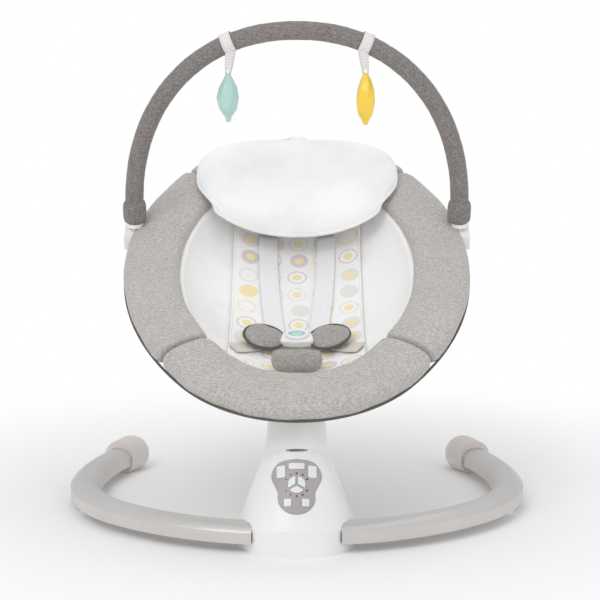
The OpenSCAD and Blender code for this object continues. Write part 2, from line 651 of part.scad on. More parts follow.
// ---------- Toy bar ----------
bar_lean = 12;                             // forward lean of the bar from vertical
bar_turns = 36;
bar_n = 2.15;
function bar_point(a, h) = [bar_half_w * sign(cos(a)) * pow(abs(cos(a)), 2 / bar_n),
                            h + (bar_h - h) * pow(sin(a), 2 / bar_n)];
bar_from = 46;                             // where the padding starts above the sockets
function bar_path(n) = [for (i = [0:n]) bar_point(180 * i / n, bar_from)];
module in_bar() translate([0, hub_world[1], hub_world[2]]) rotate([90 + bar_lean, 0, 0]) children();
bar_tube_r = 6;
knob_r = 15;
clip_h = 5;
clip_from = hub_top + 4;
knob_from = clip_from + clip_h + gap;
module bar_tube() color("silver") in_bar()
    sweep(concat([[bar_half_w, -hub_sink]], bar_path(bar_turns), [[-bar_half_w, -hub_sink]]), ring(bar_tube_r, 12));
module bar_leg() in_bar() both() translate([bar_half_w, 0, 0]) rotate([-90, 0, 0]) children();
module bar_cover() color("dimgray") in_bar()
    sweep(bar_path(bar_turns), tunnel(bar_d / 2, bar_d / 2, bar_tube_r + 1.1, 1, 180, 16, 8));
module bar_knobs() color("dimgray") bar_leg() translate([0, 0, knob_from]) difference() {
    intersection() {
        cylinder(r = knob_r, h = bar_from - knob_from - gap);
        translate([0, 0, (bar_from - knob_from) / 2]) sphere(r = knob_r + 3.5);
    }
    translate([0, 0, -1]) cylinder(r = bar_tube_r + rest_gap, h = far);
}
module bar_clips() color("white") bar_leg() difference() {
    translate([0, 0, clip_from]) cylinder(r = 10.5, h = clip_h);
    cylinder(r = bar_tube_r + 0.1, h = far);
}
toy_x = 88;
toy_a = acos(pow(toy_x / bar_half_w, bar_n / 2));
toy_p = bar_point(toy_a, bar_from);
toy_t = unit(bar_point(toy_a + 1, bar_from) - bar_point(toy_a - 1, bar_from));
toy_at = [toy_p[0], hub_world[1] - toy_p[1] * sin(bar_lean), hub_world[2] + toy_p[1] * cos(bar_lean)];
toy_slope = atan2(toy_t[1], toy_t[0]);
ribbon_w = 14;
ribbon_t = 1.4;
ribbon_r = bar_d / 2 + 1.8;
ribbon_l = 24;
module ribbon() color("white") {
    difference() {
        union() {
            in_bar() translate([toy_p[0], toy_p[1], 0]) rotate([0, 0, toy_slope])
                cylinder_x(ribbon_r + ribbon_t, ribbon_w);
            translate(toy_at + [0, 0, -ribbon_r - ribbon_l / 2])
                cube([ribbon_w - 3, 2 * ribbon_t, ribbon_l], center = true);
        }
        in_bar() translate([toy_p[0], toy_p[1], 0]) rotate([0, 0, toy_slope]) cylinder_x(ribbon_r, far);
    }
}
module toy(outline) {
    ribbon();
    translate(toy_at + [0, 0, -ribbon_r - ribbon_l - outline[len(outline) - 1][1] + 0.2])
        rotate_extrude() polygon(outline);
}
bud = [[0, 0], [5, 2], [12, 14], [15, 27], [12.5, 40], [7, 52], [3, 62], [0, 62]];
spindle = [[0, 0], [4, 2], [10, 14], [13.5, 29], [11.5, 44], [7, 57], [3.5, 66], [0, 66]];
module left_toy() color("mediumaquamarine") mirror([1, 0, 0]) toy(bud);
module right_toy() color("gold") toy(spindle);

housing_front();
housing_rear();
base_plate();
base_screws();
bearing_frame();
lower_bearing();
upper_bearing();
drive_coil();
control_board();
battery_box();
battery_cells();
battery_door();
speaker();
power_inlet();
control_panel();
led_lenses();
button_power();
button_music();
button_timer();
button_left();
button_right();
button_down();
button_minus();
button_plus();
left_tube();
right_tube();
left_rear_cap();
right_rear_cap();
front_feet();
neck_front();
neck_rear();
pivot_shaft();
drive_magnet();
swing_arm();
recline_axle();
seat_bracket();
cradle_tube();
front_hoop();
rear_hoop();
left_hub();
right_hub();
rim_foot();
rim_left();
rim_right();
rim_head();
seat_bucket();
seat_liner();
head_pillow();
pillow_strap();
shoulder_straps();
waist_straps();
buckle();
buckle_button();
crotch_pad();
bar_tube();
bar_cover();
bar_knobs();
bar_clips();
left_toy();
right_toy();
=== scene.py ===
import math

import bpy
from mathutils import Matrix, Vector


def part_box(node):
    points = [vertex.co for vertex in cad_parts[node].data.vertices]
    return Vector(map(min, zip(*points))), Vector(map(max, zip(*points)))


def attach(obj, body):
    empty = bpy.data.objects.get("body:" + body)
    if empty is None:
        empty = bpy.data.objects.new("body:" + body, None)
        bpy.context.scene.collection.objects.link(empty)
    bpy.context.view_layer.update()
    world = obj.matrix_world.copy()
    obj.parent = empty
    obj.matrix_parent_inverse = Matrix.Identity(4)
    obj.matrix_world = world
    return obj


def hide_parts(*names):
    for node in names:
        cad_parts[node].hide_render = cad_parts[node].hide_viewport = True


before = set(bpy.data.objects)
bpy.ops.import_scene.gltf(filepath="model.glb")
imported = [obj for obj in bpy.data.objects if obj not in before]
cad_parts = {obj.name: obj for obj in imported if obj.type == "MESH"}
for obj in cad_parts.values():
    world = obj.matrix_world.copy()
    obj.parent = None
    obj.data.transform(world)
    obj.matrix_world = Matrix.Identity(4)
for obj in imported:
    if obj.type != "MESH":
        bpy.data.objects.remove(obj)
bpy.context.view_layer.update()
print("frame loaded")


# A number or a node's output, so that shader maths can be written as expressions
class Value:
    def __init__(self, look, item):
        self.look = look
        self.item = item

    def maths(self, operation, *others):
        return self.look.add("ShaderNodeMath", {"operation": operation}, [self, *others])[0]

    def __add__(self, other):
        return self.maths("ADD", other)

    def __sub__(self, other):
        return self.maths("SUBTRACT", other)

    def __rsub__(self, other):
        return Value(self.look, other).maths("SUBTRACT", self)

    def __mul__(self, other):
        return self.maths("MULTIPLY", other)

    __radd__ = __add__
    __rmul__ = __mul__

    def step(self, low, high):
        return self.look.add(
            "ShaderNodeMapRange",
            {"interpolation_type": "SMOOTHSTEP"},
            {"Value": self, "From Min": low, "From Max": high},
        )[0]


# A material with one Principled shader; patterns follow the object's own coordinates
class Look:
    def __init__(self, name, slotName, **constants):
        self.material = bpy.data.materials.new(name)
        self.material.use_nodes = True
        self.slotName = slotName
        self.tree = self.material.node_tree
        self.shader = next(n for n in self.tree.nodes if n.type == "BSDF_PRINCIPLED")
        self.place = self.add("ShaderNodeTexCoord")[3]
        for key, value in constants.items():
            self.shader.inputs[key.replace("_", " ")].default_value = value

    def add(self, kind, settings=None, inputs=None):
        node = self.tree.nodes.new(kind)
        for key, value in (settings or {}).items():
            setattr(node, key, value)
        pairs = inputs.items() if isinstance(inputs, dict) else enumerate(inputs or [])
        for key, value in pairs:
            socket = node.inputs[key]
            item = value.item if isinstance(value, Value) else value
            if isinstance(item, bpy.types.NodeSocket):
                self.tree.links.new(item, socket)
            else:
                socket.default_value = item
        return [Value(self, out) for out in node.outputs]

    # The Mix node's colour sockets are 6 and 7 in, and 2 out
    def mix(self, factor, one, two):
        return self.add("ShaderNodeMix", {"data_type": "RGBA"}, {0: factor, 6: one, 7: two})[2]

    def noise(self, scale, detail=2.0, stretch=(1, 1, 1)):
        moved = self.add("ShaderNodeMapping", None, {"Vector": self.place, "Scale": stretch})[0]
        inputs = {"Vector": moved, "Scale": scale, "Detail": detail, "Roughness": 0.5}
        return self.add("ShaderNodeTexNoise", None, inputs)[0]

    def axes(self):
        return self.add("ShaderNodeSeparateXYZ", None, [self.place])

    def link(self, name, value):
        self.tree.links.new(value.item, self.shader.inputs[name])

    def bump(self, height, strength, distance):
        inputs = {"Strength": strength, "Distance": distance, "Height": height}
        self.link("Normal", self.add("ShaderNodeBump", None, inputs)[0])


def linear(r, g, b):
    def one(v):
        v /= 255
        return v / 12.92 if v <= 0.04045 else ((v + 0.055) / 1.055) ** 2.4

    return (one(r), one(g), one(b), 1.0)


def darker(colour, share):
    return tuple(c * share for c in colour[:3]) + (1.0,)


# Noise scales and wave numbers are per metre, relief heights are in metres
plasticSet = {"cloud": 9, "fine": 1400, "shade": 0.93, "roughSpread": 0.12, "relief": 0.0003}


def plastic(name, slotName, colour, rough, grain=0.02, **constants):
    look = Look(name, slotName, **constants)
    soft = look.noise(plasticSet["cloud"], 3)
    fine = look.noise(plasticSet["fine"], 2)
    shade = darker(colour, plasticSet["shade"])
    look.link("Base Color", look.mix(soft.step(0.35, 0.7), colour, shade))
    look.link("Roughness", rough + (soft - 0.5) * plasticSet["roughSpread"])
    look.bump(fine, grain, plasticSet["relief"])
    return look


melangeSet = {
    "yarn": 900,
    "yarnShare": 0.55,
    "fleckFrom": 0.34,
    "fleckTo": 0.66,
    "patch": 22,
    "patchShare": 0.2,
    "rough": 0.86,
    "ribs": 3600,
    "ribsZ": 1900,
    "folds": 34,
    "foldHeight": 14,
    "strength": 0.45,
    "relief": 0.0006,
}


def melange(name, slotName, light, dark, foldDepth):
    look = Look(name, slotName, **{"Specular IOR Level": 0.25, "Sheen Weight": 0.15})
    x, y, z = look.axes()
    yarn = look.noise(melangeSet["yarn"], 2, (1, 0.25, 1))
    cross = look.noise(melangeSet["yarn"], 2, (0.25, 1, 0.4))
    weave = yarn * melangeSet["yarnShare"] + cross * (1 - melangeSet["yarnShare"])
    fleck = weave.step(melangeSet["fleckFrom"], melangeSet["fleckTo"])
    patch = look.noise(melangeSet["patch"], 3)
    share = fleck * (1 - melangeSet["patchShare"]) + patch * melangeSet["patchShare"]
    look.link("Base Color", look.mix(share, dark, light))
    look.link("Roughness", melangeSet["rough"] + (yarn - 0.5) * 0.1)
    across = (x * melangeSet["ribs"]).maths("SINE")
    along = (y * melangeSet["ribs"] + z * melangeSet["ribsZ"]).maths("SINE")
    folds = look.noise(melangeSet["folds"], 3, (1, 1, 0.7))
    height = across * along * 0.125 + yarn * 0.8 + folds * foldDepth * melangeSet["foldHeight"]
    look.bump(height, melangeSet["strength"], melangeSet["relief"])
    return look


clothSet = {
    "cloud": 15,
    "fine": 1500,
    "shade": 0.9,
    "rough": 0.82,
    "ribs": 5200,
    "ribsZ": 2600,
    "folds": 26,
    "foldHeight": 12,
    "strength": 0.4,
    "relief": 0.0006,
}


def whiteCloth(name, slotName, colour, foldDepth=0.5):
    look = Look(name, slotName, **{"Specular IOR Level": 0.2, "Sheen Weight": 0.1})
    x, y, z = look.axes()
    cloud = look.noise(clothSet["cloud"], 3)
    grain = look.noise(clothSet["fine"], 2)
    shade = darker(colour, clothSet["shade"])
    look.link("Base Color", look.mix(cloud.step(0.4, 0.8), colour, shade))
    look.link("Roughness", clothSet["rough"] + (grain - 0.5) * 0.12)
    across = (x * clothSet["ribs"]).maths("SINE")
    along = (y * clothSet["ribs"] + z * clothSet["ribsZ"]).maths("SINE")
    folds = look.noise(clothSet["folds"], 3, (1.2, 1, 0.6))
    height = (across + along) * 0.075 + grain * 0.4 + folds * foldDepth * clothSet["foldHeight"]
    look.bump(height, clothSet["strength"], clothSet["relief"])
    return look


printSet = {
    "acrossScale": 30,
    "alongScale": 26,
    "upScale": 14,
    "scatter": 0.14,
    "strength": 0.6,
    "yellow": linear(251, 222, 110),
    "mauve": linear(206, 186, 192),
    "sand": linear(226, 221, 216),
}


# Dots and rings, one to a cell of a loose grid, chosen by the cell's own colour
def printedCloth(name, slotName, ground):
    look = whiteCloth(name, slotName, ground, 0.3)
    x, y, z = look.axes()
    up = y * printSet["alongScale"] + z * printSet["upScale"]
    flat = look.add("ShaderNodeCombineXYZ", None, [x * printSet["acrossScale"], up, 0.0])[0]
    reach, cellColour = look.add(
        "ShaderNodeTexVoronoi",
        {"voronoi_dimensions": "2D"},
        {"Vector": flat, "Scale": 1.0, "Randomness": printSet["scatter"]},
    )[:2]
    pick = look.add("ShaderNodeSeparateColor", None, [cellColour])
    ring = reach.step(0.32, 0.34) * (1 - reach.step(0.38, 0.4))
    disc = 1 - reach.step(0.36, 0.38)
    seed = (1 - reach.step(0.17, 0.19)) * pick[2].step(0.4, 0.41)
    pale = look.mix(pick[2].step(0.5, 0.51), printSet["yellow"], printSet["mauve"])
    tint = look.mix(pick[1].step(0.45, 0.46), printSet["sand"], pale)
    warm = look.mix(seed, tint, printSet["yellow"])
    odd = pick[0].step(0.5, 0.51)
    shape = disc * odd + (ring + seed) * (1 - odd)
    cloud = look.noise(clothSet["cloud"], 3)
    plain = look.mix(cloud.step(0.4, 0.8), ground, darker(ground, 0.95))
    look.link("Base Color", look.mix(shape * printSet["strength"], plain, warm))
    return look


webbingSet = {
    "ribs": 2600,
    "cross": 4200,
    "fine": 1200,
    "shade": 0.86,
    "rough": 0.7,
    "strength": 0.4,
    "relief": 0.0005,
}


def webbing(name, slotName, colour):
    look = Look(name, slotName, **{"Specular IOR Level": 0.3})
    x, y, z = look.axes()
    along = (y * webbingSet["ribs"] + z * webbingSet["ribs"]).maths("SINE")
    ribs = along * 0.5 + (x * webbingSet["cross"]).maths("SINE") * 0.3
    fine = look.noise(webbingSet["fine"], 2)
    shade = darker(colour, webbingSet["shade"])
    look.link("Base Color", look.mix((ribs * 0.5 + fine).step(0.2, 0.9), shade, colour))
    look.link("Roughness", webbingSet["rough"] + (fine - 0.5) * 0.15)
    look.bump(ribs + fine * 0.5, webbingSet["strength"], webbingSet["relief"])
    return look


def gloss(name, slotName, colour, rough):
    return plastic(name, slotName, colour, rough, 0.01, Coat_Weight=0.4, Coat_Roughness=0.15)


looks = {
    "white": plastic("shell_white", "white_plastic", linear(249, 249, 249), 0.36),
    "cap": plastic("cap_plastic", "cap_plastic", linear(228, 221, 218), 0.42),
    "panel": plastic("panel_grey", "grey_plastic", linear(178, 173, 173), 0.45, 0.05),
    "button": plastic("button_white", "button_white", linear(240, 240, 240), 0.4),
    "lens": gloss("lens_red", "lens_dark", linear(120, 22, 26), 0.2),
    "silver": plastic("silver_coat", "silver_tube", linear(216, 213, 210), 0.34, 0.05, Metallic=0.35),
    "steel": plastic("bright_steel", "steel", linear(190, 190, 194), 0.3, 0.02, Metallic=1.0),
    "dark": plastic("dark_plastic", "dark_plastic", linear(60, 60, 62), 0.5),
    "board": plastic("solder_mask", "board", linear(30, 92, 58), 0.4),
    "copper": plastic("copper_wire", "copper", linear(196, 128, 84), 0.35, 0.1, Metallic=0.9),
    "cell": plastic("cell_sleeve", "cell", linear(214, 180, 96), 0.35),
    "rim": melange("rim_melange", "grey_melange", linear(215, 210, 205), linear(160, 156, 151), 0.5),
    "bar": melange("bar_melange", "dark_melange", linear(158, 152, 148), linear(102, 97, 94), 0.2),
    "piping": plastic("dark_piping", "dark_melange", linear(96, 94, 92), 0.8, 0.2),
    "pad": melange("pad_melange", "grey_melange", linear(190, 186, 182), linear(140, 137, 133), 0.3),
    "cloth": whiteCloth("white_knit", "white_fabric", linear(252, 251, 250)),
    "pillow": whiteCloth("pillow_plush", "white_fabric", linear(254, 254, 254), 0.7),
    "print": printedCloth("liner_print", "printed_fabric", linear(250, 249, 247)),
    "web": webbing("white_webbing", "webbing", linear(253, 253, 254)),
    "ribbon": webbing("soft_ribbon", "webbing", linear(242, 237, 237)),
    "beige": webbing("beige_webbing", "webbing", linear(232, 226, 216)),
    "mint": gloss("mint_gloss", "mint", linear(186, 222, 214), 0.3),
    "yellow": gloss("yellow_gloss", "yellow", linear(252, 214, 70), 0.3),
}
print("looks made")


def dress(obj, key):
    look = looks[key]
    obj.data.materials.clear()
    obj.data.materials.append(look.material)


# Shapes are worked out in millimetres and turned into metres here
def mesh(name, points, faces, key, body="seat", levels=0):
    data = bpy.data.meshes.new(name)
    data.from_pydata([Vector(p) / 1000 for p in points], [], faces)
    data.validate()
    data.update()
    for face in data.polygons:
        face.use_smooth = True
    obj = bpy.data.objects.new(name, data)
    bpy.context.scene.collection.objects.link(obj)
    bpy.context.view_layer.objects.active = obj
    for other in bpy.context.selected_objects:
        other.select_set(False)
    obj.select_set(True)
    bpy.ops.object.mode_set(mode="EDIT")
    bpy.ops.mesh.select_all(action="SELECT")
    bpy.ops.mesh.normals_make_consistent(inside=False)
    bpy.ops.object.mode_set(mode="OBJECT")
    if levels:
        modifier = obj.modifiers.new("smooth", "SUBSURF")
        modifier.levels = levels
        modifier.render_levels = levels
        bpy.ops.object.modifier_apply(modifier=modifier.name)
    dress(obj, key)
    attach(obj, body)
    return obj


# Faces between rows of points that each close on themselves, capped unless the rows close too
def lathe(rows, closed=False):
    count = len(rows)
    n = len(rows[0])
    faces = []
    for i in range(count if closed else count - 1):
        for j in range(n):
            k = (j + 1) % n
            m = (i + 1) % count
            faces.append((i * n + j, i * n + k, m * n + k, m * n + j))
    if not closed:
        faces += [tuple(range(n)), tuple((count - 1) * n + j for j in reversed(range(n)))]
    return [p for row in rows for p in row], faces


# A closed sheet between two grids of points
def slab(low, high):
    rows = len(low)
    cols = len(low[0])
    edge = rows * cols
    faces = []
    for i in range(rows - 1):
        for j in range(cols - 1):
            a = i * cols + j
            faces.append((a, a + cols, a + cols + 1, a + 1))
            faces.append((edge + a, edge + a + 1, edge + a + cols + 1, edge + a + cols))
    for i in range(rows - 1):
        for a in (i * cols, i * cols + cols - 1):
            faces.append((a, a + cols, edge + a + cols, edge + a))
    for j in range(cols - 1):
        for a in (j, (rows - 1) * cols + j):
            faces.append((a, a + 1, edge + a + 1, edge + a))
    return [p for grid in (low, high) for row in grid for p in row], faces


def turns(n):
    return [2 * math.pi * j / n for j in range(n)]


# Rows round a path of points
def tube(path, radius, n, up):
    rows = []
    for i, point in enumerate(path):
        before = Vector(path[max(i - 1, 0)])
        after = Vector(path[min(i + 1, len(path) - 1)])
        along = (after - before).normalized()
        side = along.cross(up).normalized()
        top = side.cross(along)
        r = radius(i / (len(path) - 1)) if callable(radius) else radius
        rows.append([Vector(point) + r * (math.cos(t) * side + math.sin(t) * top) for t in turns(n)])
    return rows


def power(value, exponent):
    return math.copysign(abs(value) ** exponent, value)


sides = ((-1, "l"), (1, "r"))

# The seat's plane, with its middle taken from the rim's CAD shapes
rimBoxes = [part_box(n) for n in ("rim_foot", "rim_head", "rim_left", "rim_right")]
rimLow = Vector([min(b[0][i] for b in rimBoxes) for i in range(3)]) * 1000
rimHigh = Vector([max(b[1][i] for b in rimBoxes) for i in range(3)]) * 1000
seatMid = (rimLow + rimHigh) / 2
seat = {
    "tilt": math.radians(28),
    "halfW": rimHigh.x,
    "halfL": 298,
    "endR": 180,
    "band": 72,
    "thick": 34,
    "hubF": 0.035,
}
seatAlong = Vector((0, math.cos(seat["tilt"]), math.sin(seat["tilt"])))
seatUp = Vector((0, -math.sin(seat["tilt"]), math.cos(seat["tilt"])))


def inSeat(x, w, up):
    return Vector((x, seatMid.y, seatMid.z)) + w * seatAlong + up * seatUp


# A closed tube along a path whose last point is its first
def loopTube(path, radius, n=8):
    return lathe(tube(path, radius, n, seatUp)[:-1], closed=True)


# A point of the rim's outline moved inwards, and the outward direction there
def oval(turn, inset):
    a = seat["halfL"] - inset
    b = seat["halfW"] - inset
    r = seat["endR"] - inset
    q = ((a - r) ** 2 + b * b - r * r) / (2 * (b - r))
    t = 2 * math.pi * turn
    k = math.atan2(a - r, q - b)
    signX = 1 if math.cos(t) >= 0 else -1
    signW = 1 if math.sin(t) >= 0 else -1
    u = math.acos(min(1, abs(math.cos(t))))
    if u <= k:
        x = signX * (b - q + q * math.cos(u))
        w = signW * q * math.sin(u)
    else:
        x = signX * r * math.cos(u)
        w = signW * (a - r + r * math.sin(u))
    return x, w, math.cos(t), math.sin(t)


# Padded rim in four pieces; parts of a turn are counted from the right hand side
rim = {
    "sides": 28,
    "seamF": 0.1,
    "footF": 0.09,
    "gapF": 0.0007,
    "tuckF": 0.0045,
    "roundOut": 0.82,
    "roundUp": 0.78,
    "swell": 0.8,
    "swellWaves": 71,
    "ripple": 0.6,
    "rippleWaves": 163,
    "pucker": 1.2,
    "puckerReach": 4,
    "puckerStep": 2.4,
    "endFill": 0.9,
}


def rimPiece(name, start, end, count, seed, node):
    rows = []
    for i in range(count + 1):
        share = i / count
        turn = start + (end - start) * share
        x, w, outX, outW = oval(turn, seat["band"] / 2)
        near = min(share, 1 - share) * (end - start) / rim["tuckF"]
        fill = rim["endFill"] + (1 - rim["endFill"]) * min(1, near) ** 0.6
        fading = rim["pucker"] * math.exp(-near / rim["puckerReach"])
        pucker = fading * math.sin(seed + share * count * rim["puckerStep"])
        row = []
        for t in turns(rim["sides"]):
            swell = rim["swell"] * math.sin(turn * rim["swellWaves"] + 2 * t + seed)
            soft = swell + rim["ripple"] * math.sin(turn * rim["rippleWaves"] - t * 3)
            halfOut = seat["band"] / 2 * fill + (soft + pucker) * 0.5
            halfUp = seat["thick"] / 2 * fill + soft * 0.8 + pucker
            out = halfOut * power(math.cos(t), rim["roundOut"])
            up = halfUp * power(math.sin(t), rim["roundUp"])
            row.append(inSeat(x + out * outX, w + out * outW, up))
        rows.append(row)
    obj = mesh(name, *lathe(rows), "rim", levels=1)
    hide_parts(node)


seamF = rim["seamF"]
footF = rim["footF"]
gapF = rim["gapF"]
rimPiece("rim_head_pad", seamF + gapF, 0.5 - seamF - gapF, 90, 0.3, "rim_head")
rimPiece("rim_foot_pad", 0.5 + footF + gapF, 1 - footF - gapF, 90, 1.7, "rim_foot")
rimPiece("rim_right_pad", -footF + gapF, seamF - gapF, 70, 2.9, "rim_right")
rimPiece("rim_left_pad", 0.5 - seamF + gapF, 0.5 + footF - gapF, 70, 4.1, "rim_left")

rimPipe = {"steps": 180, "inset": 2.0, "out": 0.5, "up": -8.5, "r": 1.7}
rimPipePath = []
for i in range(rimPipe["steps"] + 1):
    x, w, outX, outW = oval(i / rimPipe["steps"], rimPipe["inset"])
    rimPipePath.append(inSeat(x + rimPipe["out"] * outX, w + rimPipe["out"] * outW, rimPipe["up"]))
mesh("rim_piping", *loopTube(rimPipePath, rimPipe["r"]), "piping")
print("rim made")

# Bucket: a bowl with an elliptical edge, deeper towards the foot
bowl = {
    "a": seat["halfW"] - seat["band"] - 2.4,
    "b": seat["halfL"] - seat["band"] - 2.4,
    "depth": 68,
    "slope": 0.08,
    "edge": -4,
    "flatness": 2.6,
    "roundness": 0.6,
    "wall": 3,
    "sides": 72,
    "creases": 17,
    "creaseHeight": 0.6,
}
bowlShares = [0.04, 0.14, 0.3, 0.46, 0.6, 0.72, 0.82, 0.9, 0.95, 0.98, 0.995, 1.0]
# The bucket's edge: how far it reaches into the rim, and its height
bowlEdges = [(9, -7), (9, -3.5), (1, -2)]


# Height of the bowl at a share of the way to its edge
def bowlAt(share, w, moved):
    deep = bowl["depth"] * (1 - bowl["slope"] * w / bowl["b"]) - moved
    return bowl["edge"] - deep * (1 - share ** bowl["flatness"]) ** bowl["roundness"]


def bowlUp(x, w, moved):
    share = min(1, math.hypot(x / (bowl["a"] - moved), w / (bowl["b"] - moved)))
    return bowlAt(share, w, moved)


def bowlRing(share, moved):
    ring = []
    for t in turns(bowl["sides"]):
        x = (bowl["a"] - moved) * share * math.cos(t)
        w = (bowl["b"] - moved) * share * math.sin(t)
        crease = bowl["creaseHeight"] * math.sin(t * bowl["creases"]) * math.sin(math.pi * share)
        ring.append(inSeat(x, w, bowlAt(share, w, moved) + (crease if moved else 0)))
    return ring


def hem(reach, up):
    a = bowl["a"] + reach
    b = bowl["b"] + reach
    return [inSeat(a * math.cos(t), b * math.sin(t), up) for t in turns(bowl["sides"])]


bowlRows = [bowlRing(share, 0) for share in bowlShares]
bowlRows += [hem(reach, up) for reach, up in bowlEdges]
bowlRows += [bowlRing(share, bowl["wall"]) for share in reversed(bowlShares)]
bucket = mesh("seat_bucket_shell", *lathe(bowlRows), "cloth", levels=1)
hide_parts("seat_bucket")

# Liner laid in the bowl, with its piping
liner = {
    "rows": 44,
    "cols": 20,
    "end": 200,
    "half": 84,
    "bowlShare": 0.86,
    "under": 5.4,
    "thick": 4.4,
    "top": 10.8,
    "quilt": 1.2,
    "quiltPitch": 21,
    "pipeEnd": 196,
    "pipeSteps": 60,
    "pipeUp": 8.4,
    "pipeR": 1.6,
}


def linerHalf(w):
    inBowl = math.sqrt(max(0.01, 1 - (w / bowl["b"]) ** 2))
    return min(liner["half"], liner["bowlShare"] * bowl["a"] * inBowl)


def linerTop(x, w):
    return bowlUp(x, w, liner["top"])


def linerGrid(lift):
    grid = []
    for i in range(liner["rows"] + 1):
        w = -liner["end"] + 2 * liner["end"] * i / liner["rows"]
        half = linerHalf(w)
        row = []
        for j in range(liner["cols"] + 1):
            u = 2 * j / liner["cols"] - 1
            quilt = liner["quilt"] * (1 - u**6) * abs(math.sin(w / liner["quiltPitch"])) ** 0.5
            up = bowlUp(half * u, w, liner["under"] + lift)
            row.append(inSeat(half * u, w, up + (quilt if lift else 0)))
        grid.append(row)
    return grid


linerPad = mesh("seat_liner_pad", *slab(linerGrid(0), linerGrid(liner["thick"])), "print", levels=1)
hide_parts("seat_liner")
for side, tag in sides:
    edge = []
    for i in range(liner["pipeSteps"] + 1):
        w = -liner["pipeEnd"] + 2 * liner["pipeEnd"] * i / liner["pipeSteps"]
        half = linerHalf(w)
        edge.append(inSeat(side * half, w, bowlUp(half, w, liner["pipeUp"])))
    mesh(f"liner_piping_{tag}", *lathe(tube(edge, liner["pipeR"], 8, seatUp)), "cloth")
print("bucket and liner made")

# Head pillow: it bridges the bowl and lies on the rim at the head
pillow = {
    "from": 92,
    "to": 262,
    "half": 134,
    "rows": 32,
    "cols": 40,
    "footUp": -20,
    "rise": 40,
    "hollow": 0.0011,
    "overRim": 1.5,
    "rimInset": 14,
    "thin": 5,
    "puff": 21,
    "pipeSteps": 120,
    "pipeUp": 3.5,
    "pipeR": 2.2,
}
farBelow = -400


def rimTop(x, w):
    q = math.hypot(x / (bowl["a"] - pillow["rimInset"]), w / (bowl["b"] - pillow["rimInset"]))
    if q <= 1:
        return farBelow
    k = min(1, max(0, 1 - (q - 1) * bowl["a"] / (seat["band"] / 2)))
    return seat["thick"] / 2 * (1 - k**2.5) ** 0.4 + pillow["overRim"]


def pillowHalf(v):
    return pillow["half"] * max(0, 1 - abs(2 * v - 1) ** 2.5) ** 0.47 + 1


def pillowAlong(v):
    return pillow["from"] + (pillow["to"] - pillow["from"]) * v


def pillowUnder(x, v):
    bridged = pillow["footUp"] + pillow["rise"] * v + pillow["hollow"] * x * x
    return max(bridged, rimTop(x, pillowAlong(v)))


def pillowSheet(upper):
    grid = []
    for i in range(pillow["rows"] + 1):
        v = 0.5 - 0.5 * math.cos(math.pi * i / pillow["rows"])
        w = pillowAlong(v)
        row = []
        for j in range(pillow["cols"] + 1):
            u = math.sin(math.pi / 2 * (2 * j / pillow["cols"] - 1))
            x = pillowHalf(v) * u
            puff = ((1 - abs(u) ** 3) * (1 - abs(2 * v - 1) ** 3)) ** 0.55
            crease = 0.9 * math.sin(x / 11 + 3 * v) * (1 - puff) + 0.5 * math.sin(w / 9 + x / 30)
            thick = pillow["thin"] + pillow["puff"] * puff + crease * puff
            row.append(inSeat(x, w, pillowUnder(x, v) + (thick if upper else 0)))
        grid.append(row)
    return grid


pillowPad = mesh("head_pillow_pad", *slab(pillowSheet(False), pillowSheet(True)), "pillow", levels=1)
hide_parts("head_pillow")
brim = []
for i in range(pillow["pipeSteps"] + 1):
    t = 2 * math.pi * i / pillow["pipeSteps"]
    v = 0.5 + 0.5 * math.sin(t)
    x = math.copysign(pillowHalf(v), math.cos(t))
    brim.append(inSeat(x, pillowAlong(v), pillowUnder(x, v) + pillow["pipeUp"]))
mesh("pillow_piping", *loopTube(brim, pillow["pipeR"]), "pillow")

# The pillow's band goes over the rim at the head and down its outer side
headBand = {
    "across": (-11, -5, 5, 11),
    "from": 150,
    "sweep": 190,
    "steps": 24,
    "offOut": 1.6,
    "offUp": 1.8,
    "thickOut": 1.03,
    "thickUp": 1.05,
}
bandMid = seat["halfL"] - seat["band"] / 2
bandLow = []
bandHigh = []
for i in range(headBand["steps"] + 1):
    t = math.radians(headBand["from"] - headBand["sweep"] * i / headBand["steps"])
    out = (seat["band"] / 2 + headBand["offOut"]) * power(math.cos(t), rim["roundOut"])
    up = (seat["thick"] / 2 + headBand["offUp"]) * power(math.sin(t), rim["roundUp"])
    outTop = out * headBand["thickOut"]
    upTop = up * headBand["thickUp"]
    bandLow.append([inSeat(x, bandMid + out, up) for x in headBand["across"]])
    bandHigh.append([inSeat(x, bandMid + outTop, upTop) for x in headBand["across"]])
band = mesh("pillow_band", *slab(bandLow, bandHigh), "pillow")
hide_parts("pillow_strap")
print("pillow made")

# Straps laid on the liner: two over the shoulders and two at the waist
strap = {"across": (-1, -0.93, -0.5, 0, 0.5, 0.93, 1), "middle": 3, "thick": 1.6, "edgeThick": 1.1}
shoulder = {"wide": 25, "lift": 2.2, "steps": 24, "top": 128, "run": 198, "apart": 39, "closing": 12}
waist = {"wide": 22, "lift": 2.0, "steps": 12, "outer": 81, "run": 46, "foot": -124, "rise": 34}


def strapMesh(name, route, width, lift, key, node):
    low = []
    high = []
    for i, (x, w) in enumerate(route):
        before = route[max(i - 1, 0)]
        after = route[min(i + 1, len(route) - 1)]
        dx = after[0] - before[0]
        dw = after[1] - before[1]
        size = math.hypot(dx, dw)
        rowLow = []
        rowHigh = []
        for u in strap["across"]:
            px = x + dw / size * width / 2 * u
            pw = w - dx / size * width / 2 * u
            up = linerTop(px, pw) + lift
            thick = strap["thick"] if abs(u) < 1 else strap["edgeThick"]
            rowLow.append(inSeat(px, pw, up))
            rowHigh.append(inSeat(px, pw, up + thick))
        low.append(rowLow)
        high.append(rowHigh)
    obj = mesh(name, *slab(low, high), key)
    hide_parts(node)


